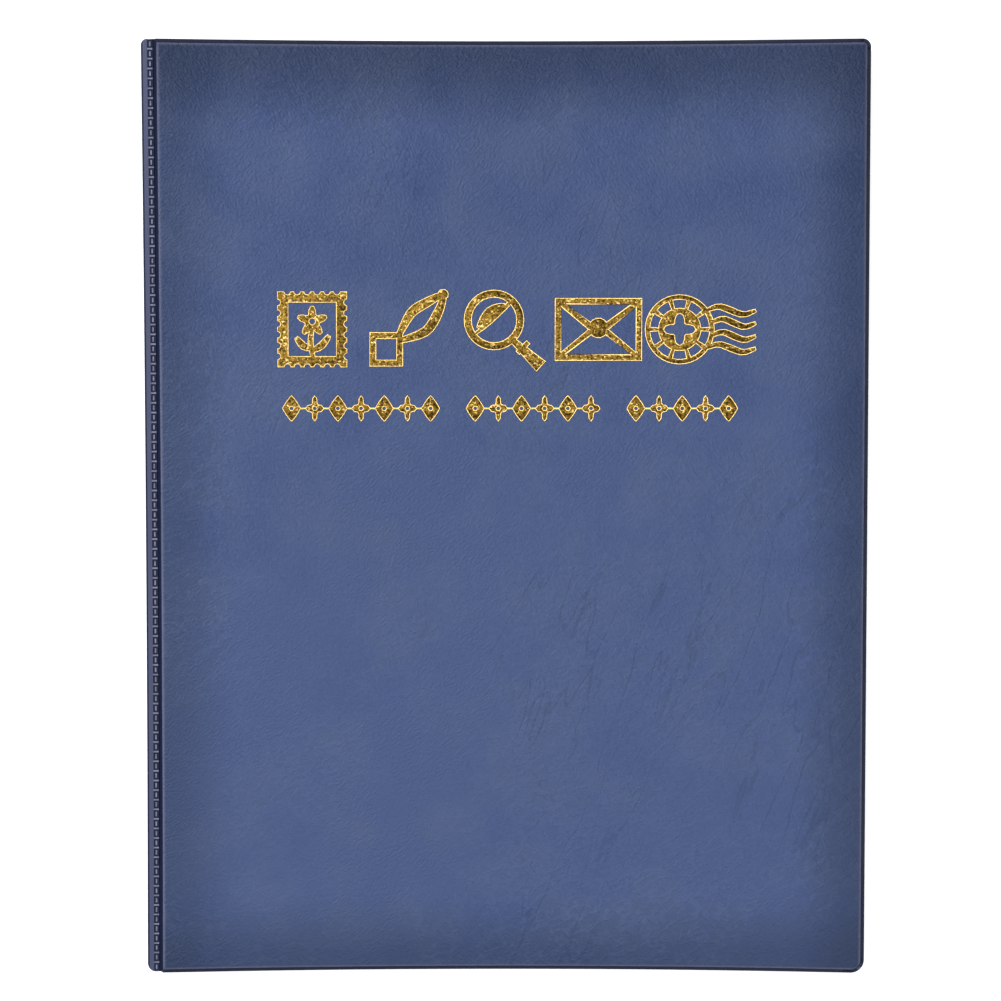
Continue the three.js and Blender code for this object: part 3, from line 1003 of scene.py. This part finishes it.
def build_cover(settings, body):
    turned = body == "back_cover"
    cover = settings.cover
    hinge_core = cover.skin_thickness + CORE_CLEARANCE
    core = cover.rim_width + hinge_core
    leather = finish_named("leatherette", leatherette, settings)
    pressed = finish_named("pressed_and_shaded_vinyl", pressed_and_shaded_vinyl, settings)
    lining = finish_named("lining_vinyl", lining_vinyl, settings)
    board = finish_named("grey_board", grey_board)
    foam = finish_named("foam_sheet", foam_sheet)
    layers = [
        ("skin", cover_skin(cover, turned), [leather, pressed], "leatherette"),
        ("lining", cover_plate(cover, turned, "lining", 0, 0), [lining], "lining_vinyl"),
        ("board", cover_plate(cover, turned, "board", core, hinge_core), [board], "grey_board"),
        ("foam", cover_plate(cover, turned, "foam", core, hinge_core), [foam], "foam_sheet"),
    ]
    for layer, bm, materials, slot in layers:
        if turned:
            turn_over(bm)
        name = f"{body}_{layer}"
        piece = finished(f"{name}_finished", bm, materials, body, [name])
        layer == "skin"


class ALBUM_OT_front_cover(bpy.types.Operator):
    """Build the padded front cover with its welded rim, lining, board and foam"""

    bl_idname = "album.front_cover"
    bl_label = "Front Cover"

    def execute(self, context):
        build_cover(context.scene.stamp_album, "front_cover")
        return {"FINISHED"}


class ALBUM_OT_back_cover(bpy.types.Operator):
    """Build the padded back cover with its welded rim, lining, board and foam"""

    bl_idname = "album.back_cover"
    bl_label = "Back Cover"

    def execute(self, context):
        build_cover(context.scene.stamp_album, "back_cover")
        return {"FINISHED"}


# ---- binding ------------------------------------------------------------------------------


BINDING_HEAD_RADIUS = 1.7 * MM
BINDING_TAIL_RADIUS = 2.4 * MM
WELT = 0.14 * MM
CELL_WALL = 0.07 * MM
BUTTON_WALL = 0.1 * MM
EDGE_DROP = 0.2 * MM
GROOVE_DROP = 0.25 * MM
BAND_DROP = 0.05 * MM
BUTTON_SHARE = 0.55
WEB_STRIPS = 14
WEB_STEP = 6 * MM
WEB_NEAR = [1 * MM, 3 * MM]


def binding_strip(settings):
    """The flat edge strip with the ladder seam pressed in its upper face."""
    binding = settings.binding
    bm = bmesh.new()
    corners = [(-1, 1, BINDING_HEAD_RADIUS), (-1, -1, BINDING_TAIL_RADIUS)]
    slab(bm, STRIP_LOW, STRIP_HIGH, corners)
    pitch = (HEAD - TAIL) / binding.cells
    half_bar = binding.bar_width / 2
    bars = []
    for index in range(binding.cells):
        start = TAIL + pitch * index
        bars += [start + half_bar, start + pitch - half_bar]
    band = LEFT + binding.band_start
    band_end = band + binding.cell_width
    edge = LEFT + binding.edge_width
    welt = band - WELT
    cut(bm, 1, bars)
    cut(bm, 0, [edge, welt - WELT, welt, band, band_end])
    wells = []
    for face in bm.faces:
        middle = face.calc_center_median()
        in_cell = half_bar < (middle.y - TAIL) % pitch < pitch - half_bar
        if face.normal.z > 0.9 and band < middle.x < band_end and in_cell:
            wells.append(face)
    sink(bm, wells, CELL_WALL, -binding.cell_depth)
    dark = set(wells)
    sink(bm, wells, binding.button_inset, 0)
    sink(bm, wells, BUTTON_WALL, BUTTON_SHARE * binding.cell_depth)
    buttons = set(wells)
    # Painted highlight on the buttons and the bars' tops; painted shade, with the pressed and shaded
    # vinyl, in the cells, on the low faces, the outer edge and the groove side.
    for face in bm.faces:
        middle = face.calc_center_median()
        low = face.normal.z > 0.3 and middle.z < STRIP_HIGH.z - 0.4 * binding.cell_depth
        if face in buttons:
            face.material_index = 2
        elif face in dark or low or middle.x < edge or middle.x > band_end:
            face.material_index = 1
        elif face.normal.z > 0.9 and middle.x > band:
            face.material_index = 2
    for vert in bm.verts:
        if vert.co.z < STRIP_HIGH.z - TINY:
            continue
        if vert.co.x < edge - TINY:
            vert.co.z -= EDGE_DROP
        elif vert.co.x > band_end + TINY:
            vert.co.z -= GROOVE_DROP
        elif abs(vert.co.x - welt) > TINY:
            vert.co.z -= BAND_DROP
    bow(bm, settings.cover)
    return bm


def sink(bm, faces, inset, rise):
    """Insets each face by itself and moves it up or down."""
    bmesh.ops.inset_individual(bm, faces=faces, thickness=inset, use_even_offset=True)
    for vert in {v for f in faces for v in f.verts}:
        vert.co.z += rise


def hinge_web(settings):
    """The thin skin in the groove between a binding strip and its cover."""
    low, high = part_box("front_hinge_web")
    thickness = settings.binding.web_thickness
    bm = bmesh.new()
    slab(bm, Vector((low.x, low.y, 0)), Vector((high.x, high.y, thickness)), [])
    cut(bm, 0, evenly(low.x, high.x, WEB_STRIPS))
    cut(bm, 1, graded(low.y, high.y, WEB_STEP, WEB_NEAR))
    start = STRIP_HIGH.z - GROOVE_DROP - thickness
    end = high.z - thickness
    for vert in bm.verts:
        share = (vert.co.x - low.x) / (high.x - low.x)
        rise = (end - start) * smooth_share(share)
        vert.co.z += start + rise - settings.binding.groove_depth * math.sin(math.pi * share)
    bow(bm, settings.cover)
    return bm


class ALBUM_OT_binding(bpy.types.Operator):
    """Build the two binding strips with their ladder seams"""

    bl_idname = "album.binding"
    bl_label = "Binding Strips"

    def execute(self, context):
        settings = context.scene.stamp_album
        skin = finish_named("welded_strip", welded_strip, settings)
        pressed = finish_named("pressed_and_shaded_vinyl", pressed_and_shaded_vinyl, settings)
        tops = finish_named("highlit_seam_tops", highlit_seam_tops, settings)
        materials = [skin, pressed, tops]
        for side in ("front", "back"):
            bm = binding_strip(settings)
            if side == "back":
                mirror_down(bm, ALBUM_TOP)
            name = f"{side}_binding_strip"
            finished(f"{name}_finished", bm, materials, "binding", [name])
        return {"FINISHED"}


class ALBUM_OT_hinge_webs(bpy.types.Operator):
    """Build the two folding skins in the grooves"""

    bl_idname = "album.hinge_webs"
    bl_label = "Hinge Webs"

    def execute(self, context):
        settings = context.scene.stamp_album
        # The groove's web takes the pressed and shaded vinyl: pressed vinyl with painted shade.
        pressed = finish_named("pressed_and_shaded_vinyl", pressed_and_shaded_vinyl, settings)
        for side in ("front", "back"):
            bm = hinge_web(settings)
            if side == "back":
                mirror_down(bm, ALBUM_TOP)
            name = f"{side}_hinge_web"
            web = finished(f"{name}_finished", bm, [pressed], None, [name])
            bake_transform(web)
        return {"FINISHED"}


# ---- leaves -------------------------------------------------------------------------------


LEAF_CLEARANCE = 0.02 * MM
MARGIN_HALF = 0.3 * MM
MARGIN_STRIPS = 16
MARGIN_ROWS = 40
FILM_STRIPS = 8
FILM_RADIUS = 3 * MM
LIP_REACH = 9 * MM
LIP_BEND = 4 * MM


def leaf_margin(settings, body):
    """The bound edge of a leaf: thick in the weld, thin and level where it meets the page."""
    low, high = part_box(f"{body}_margin")
    page_low, page_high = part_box(f"{body}_sheet")
    number = LEAVES.index(body)
    thick = STRIP_LOW.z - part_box("back_binding_strip")[1].z
    pitch = (thick - LEAF_CLEARANCE) / len(LEAVES)
    stack_z = STRIP_LOW.z - LEAF_CLEARANCE - pitch * (number + 0.5)
    page_z = (page_low.z + page_high.z) / 2
    page_half = (page_high.z - page_low.z) / 2
    bm = bmesh.new()
    slab(bm, Vector((low.x, low.y, -1 * MM)), Vector((high.x, high.y, 1 * MM)), [])
    cut(bm, 0, [BINDING_RIGHT, *evenly(BINDING_RIGHT, high.x, MARGIN_STRIPS)])
    cut(bm, 1, evenly(low.y, high.y, MARGIN_ROWS))
    for vert in bm.verts:
        share = smooth_share((vert.co.x - BINDING_RIGHT) / (high.x - BINDING_RIGHT))
        half = MARGIN_HALF + (page_half - MARGIN_HALF) * share
        vert.co.z = stack_z + (page_z - stack_z) * share + math.copysign(half, vert.co.z)
    bow(bm, settings.cover)
    return bm


class ALBUM_OT_leaf_margins(bpy.types.Operator):
    """Build the bound margins of the leaves"""

    bl_idname = "album.leaf_margins"
    bl_label = "Leaf Margins"

    def execute(self, context):
        settings = context.scene.stamp_album
        black = finish_named("black_sheet", black_sheet, settings)
        for body in LEAVES:
            name = f"{body}_margin"
            bm = leaf_margin(settings, body)
            margin = finished(f"{name}_finished", bm, [black], None, [name])
            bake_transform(margin)
        return {"FINISHED"}


def pocket_film(settings):
    """One clear film with its rows of pockets, lying on z = 0."""
    leaf = settings.leaf
    low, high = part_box("leaf_01_front_pockets")
    pitch = (high.y - low.y) / leaf.rows
    left = low.x + leaf.side_weld
    right = high.x - leaf.side_weld
    tops = [low.y + pitch * (row + 1) - leaf.side_weld for row in range(leaf.rows)]
    bm = bmesh.new()
    base = Vector((low.x, low.y, 0))
    upper = Vector((high.x, high.y, leaf.film_thickness))
    slab(bm, base, upper, [(1, 1, FILM_RADIUS), (1, -1, FILM_RADIUS)])
    seam = leaf.seam_width
    cut(bm, 0, [left - seam, left, *evenly(left, right, FILM_STRIPS), right, right + seam])
    lines = [low.y + seam]
    for top in tops:
        lines += [top - LIP_REACH, top - LIP_BEND, top - leaf.slit, top, top + seam]
    cut(bm, 1, [y for y in lines if y < high.y - TINY])
    slits = []
    for face in bm.faces:
        middle = face.calc_center_median()
        in_row = left < middle.x < right
        in_slit = any(top - leaf.slit < middle.y < top for top in tops)
        if in_row and in_slit:
            slits.append(face)
    rims = {e for f in slits for e in f.edges}
    bmesh.ops.delete(bm, geom=slits, context="FACES")
    open_edges = [e for e in rims if e.is_valid and e.is_boundary]
    bmesh.ops.bridge_loops(bm, edges=open_edges)
    for face in bm.faces:
        middle = face.calc_center_median()
        side = left - seam < middle.x < left or right < middle.x < right + seam
        row = any(top < middle.y < top + seam for top in tops)
        foot = middle.y < low.y + seam
        inside = left - seam < middle.x < right + seam
        face.material_index = 1 if side or (inside and (row or foot)) else 0
    for vert in bm.verts:
        for top in tops:
            lip = 1 - (top - leaf.slit - vert.co.y) / LIP_REACH
            if 0 < lip <= 1 + TINY and left + TINY < vert.co.x < right - TINY:
                vert.co.z += leaf.lip * smooth_share(lip)
    return bm


class ALBUM_OT_pocket_films(bpy.types.Operator):
    """Build the clear pocket films on both sides of the leaves"""

    bl_idname = "album.pocket_films"
    bl_label = "Pocket Films"

    def execute(self, context):
        settings = context.scene.stamp_album
        clear = finish_named("clear_film", clear_film)
        seam = finish_named("film_seam", film_seam)
        for body in LEAVES:
            for side in ("front", "back"):
                name = f"{body}_{side}_pockets"
                low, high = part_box(name)
                bm = pocket_film(settings)
                if side == "back":
                    mirror_down(bm, high.z)
                else:
                    bmesh.ops.translate(bm, vec=(0, 0, low.z), verts=bm.verts)
                finished(f"{name}_finished", bm, [clear, seam], body, [name])
        return {"FINISHED"}


class ALBUM_OT_leaf_sheets(bpy.types.Operator):
    """Give the leaf sheets their satin black finish"""

    bl_idname = "album.leaf_sheets"
    bl_label = "Leaf Sheets"

    def execute(self, context):
        black = finish_named("black_sheet", black_sheet, context.scene.stamp_album)
        for body in LEAVES:
            sheet = frame["nodes"][f"{body}_sheet"]
            for slot in sheet.material_slots:
                slot.material = black
        return {"FINISHED"}


# ---- foil ---------------------------------------------------------------------------------


RIBBON_RISE = 0.008 * MM


def foil_ornament(settings, node):
    """A stamped ornament: a crackled heart with a bright ribbon lying along its outline."""
    bm = bmesh.new()
    bm.from_mesh(frame["nodes"][node].data)
    bmesh.ops.remove_doubles(bm, verts=bm.verts, dist=TINY)
    walls = {f for f in bm.faces if abs(f.normal.z) < 0.5}
    for face in bm.faces:
        face.material_index = 0 if face in walls else 1
    outline = [
        e
        for e in bm.edges
        if any(f in walls for f in e.link_faces) and any(f.normal.z > 0.9 for f in e.link_faces)
    ]
    width = settings.foil.rim_width
    inward = {}
    for vert in {v for e in outline for v in e.verts}:
        normals = [f.normal for f in vert.link_faces if f in walls]
        mean = sum(normals, Vector()) / len(normals)
        step = min(width / max(mean.length, 0.1), 2 * width)
        inward[vert] = -mean.normalized() * step
    copied = bmesh.ops.duplicate(bm, geom=outline)
    moves = {copied["vert_map"][v]: move for v, move in inward.items()}
    edges = [item for item in copied["geom"] if isinstance(item, bmesh.types.BMEdge)]
    bmesh.ops.translate(bm, vec=UP * RIBBON_RISE, verts=list(moves))
    places = {tuple(v.co): move for v, move in moves.items()}
    made = bmesh.ops.extrude_edge_only(bm, edges=edges)["geom"]
    for item in made:
        if isinstance(item, bmesh.types.BMVert):
            item.co += places[tuple(item.co)]
        elif isinstance(item, bmesh.types.BMFace):
            item.material_index = 0
    for item in made:
        if isinstance(item, bmesh.types.BMFace):
            item.normal_update()
            if item.normal.z < 0:
                item.normal_flip()
    return bm


class ALBUM_OT_foil(bpy.types.Operator):
    """Build the gold foil ornaments stamped on the front cover"""

    bl_idname = "album.foil"
    bl_label = "Gold Foil"

    def execute(self, context):
        settings = context.scene.stamp_album
        rim = finish_named("foil_rim", foil_rim, settings)
        heart = finish_named("foil_heart", foil_heart, settings)
        for node in sorted(frame["nodes"]):
            if not node.startswith("foil_"):
                continue
            bm = foil_ornament(settings, node)
            finished(f"{node}_stamped", bm, [rim, heart], "front_cover", [node])
        return {"FINISHED"}


# ---- stage --------------------------------------------------------------------------------


WORLD_STRENGTH = 0.42
FLOOR_REACH = 6
FLOOR_DROP = 0.2 * MM
SENSOR_WIDTH = 36
CLIP_START = 0.01
SOFTBOXES = {
    "softbox_key": ((-1.5, 1.1, 1.7), (0.7, 0.7), 42),
    "softbox_over": ((0.2, -0.1, 2.0), (1.2, 1.2), 16),
    "softbox_left": ((-1.3, 0.0, 0.35), (0.8, 0.5), 5),
    "softbox_fill": ((1.3, -0.9, 0.8), (0.8, 0.8), 8),
}


def softbox(name, place, size, power):
    """A soft lamp that looks from place to the album."""
    lamp = bpy.data.lights.new(name, "AREA")
    lamp.shape = "RECTANGLE"
    lamp.size, lamp.size_y = size
    lamp.energy = power
    holder = bpy.data.objects.new(name, lamp)
    holder.location = place
    holder.rotation_euler = (-Vector(place)).to_track_quat("-Z", "Y").to_euler()
    bpy.context.scene.collection.objects.link(holder)


def white_world(scene):
    world = bpy.data.worlds.new("studio")
    world.use_nodes = True
    background = world.node_tree.nodes["Background"]
    background.inputs["Color"].default_value = (1, 1, 1, 1)
    background.inputs["Strength"].default_value = WORLD_STRENGTH
    scene.world = world


def lay_floor(scene):
    bm = bmesh.new()
    bmesh.ops.create_grid(bm, x_segments=1, y_segments=1, size=FLOOR_REACH)
    bmesh.ops.translate(bm, vec=-UP * FLOOR_DROP, verts=bm.verts)
    mesh = bpy.data.meshes.new("floor")
    bm.to_mesh(mesh)
    bm.free()
    mesh.materials.append(floor_finish(scene.stamp_album))
    floor = bpy.data.objects.new("floor", mesh)
    scene.collection.objects.link(floor)


def set_camera(scene):
    stage = scene.stamp_album.stage
    back = Vector((0, stage.lean, stage.distance))
    lens = bpy.data.cameras.new("camera")
    lens.sensor_width = SENSOR_WIDTH
    lens.lens = SENSOR_WIDTH * back.length / stage.view_width
    lens.clip_start = CLIP_START
    camera = bpy.data.objects.new("camera", lens)
    camera.location = Vector((*stage.aim, ALBUM_TOP)) + back
    camera.rotation_euler = (-math.atan2(stage.lean, stage.distance), 0, 0)
    scene.collection.objects.link(camera)
    scene.camera = camera


class ALBUM_OT_stage(bpy.types.Operator):
    """Set the floor, the soft studio light and the camera"""

    bl_idname = "album.stage"
    bl_label = "Stage"

    def execute(self, context):
        scene = context.scene
        scene.view_settings.view_transform = "Standard"
        white_world(scene)
        lay_floor(scene)
        for name, lamp in SOFTBOXES.items():
            softbox(name, *lamp)
        set_camera(scene)
        return {"FINISHED"}


# ---- panel and running --------------------------------------------------------------------


class ALBUM_PT_panel(bpy.types.Panel):
    """The album's pieces, in the order that they are built"""

    bl_idname = "ALBUM_PT_panel"
    bl_label = "Stamp Album"
    bl_space_type = "VIEW_3D"
    bl_region_type = "UI"
    bl_category = "Stamp Album"

    def draw(self, context):
        for operator in OPERATORS:
            self.layout.operator(operator.bl_idname)
        settings = context.scene.stamp_album
        for group in (settings.cover, settings.binding, settings.leaf, settings.foil, settings.stage):
            box = self.layout.box()
            for name in group.__annotations__:
                box.prop(group, name)


OPERATORS = (
    ALBUM_OT_front_cover,
    ALBUM_OT_back_cover,
    ALBUM_OT_binding,
    ALBUM_OT_hinge_webs,
    ALBUM_OT_leaf_margins,
    ALBUM_OT_pocket_films,
    ALBUM_OT_leaf_sheets,
    ALBUM_OT_foil,
    ALBUM_OT_stage,
)
CLASSES = (
    CoverSettings,
    BindingSettings,
    LeafSettings,
    FoilSettings,
    StageSettings,
    AlbumSettings,
    *OPERATORS,
    ALBUM_PT_panel,
)


def register():
    for cls in CLASSES:
        bpy.utils.register_class(cls)
    bpy.types.Scene.stamp_album = PointerProperty(type=AlbumSettings)


def unregister():
    del bpy.types.Scene.stamp_album
    for cls in reversed(CLASSES):
        bpy.utils.unregister_class(cls)


def main():
    register()
    for operator in OPERATORS:
        group, name = operator.bl_idname.split(".")
        getattr(getattr(bpy.ops, group), name)()
    bpy.context.view_layer.update()


if __name__ == "__main__":
    main()
